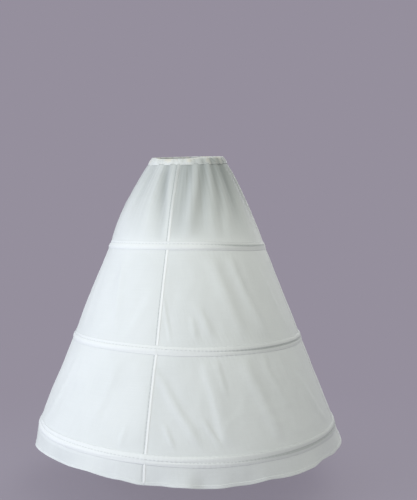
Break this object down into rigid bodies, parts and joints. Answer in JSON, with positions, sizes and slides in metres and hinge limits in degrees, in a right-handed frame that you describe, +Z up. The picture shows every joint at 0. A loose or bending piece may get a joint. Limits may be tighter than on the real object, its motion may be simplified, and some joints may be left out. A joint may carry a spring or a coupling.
{
  "type": "hoop crinoline petticoat",
  "caption": "Full-length white hooped petticoat that holds out a long skirt: gathered elastic waist, flaring cloth panels, bones in tape casings, loose hem.",
  "frame": {"origin": "middle of the waist opening, level with the waistband's top edge", "axes": "+Z up along the wearer's body, -Y out of the wearer's front, +X to the wearer's left"},
  "size_m": [0.9965, 0.9882, 0.9363],
  "materials": {
    "panel_cloth": "thin, slightly sheer white cloth",
    "band_cloth": "folded white cloth, puckered",
    "casing_tape": "close white tape, stitched along both edges",
    "elastic": "woven white elastic",
    "hoop_bone": "white coated flat spring steel",
    "connector_sleeve": "pale plastic sleeve"
  },
  "bodies": {
    "root": {"waistband": "band_cloth", "waist_elastic": "elastic", "front_left_panel": "panel_cloth", "back_left_panel": "panel_cloth", "back_right_panel": "panel_cloth", "front_right_panel": "panel_cloth", "upper_hoop_casing": "casing_tape", "upper_hoop": "hoop_bone", "upper_hoop_connector": "connector_sleeve", "middle_hoop_casing": "casing_tape", "middle_hoop": "hoop_bone", "middle_hoop_connector": "connector_sleeve", "lower_hoop_casing": "casing_tape", "lower_hoop": "hoop_bone", "lower_hoop_connector": "connector_sleeve"}
  },
  "joints": []
}
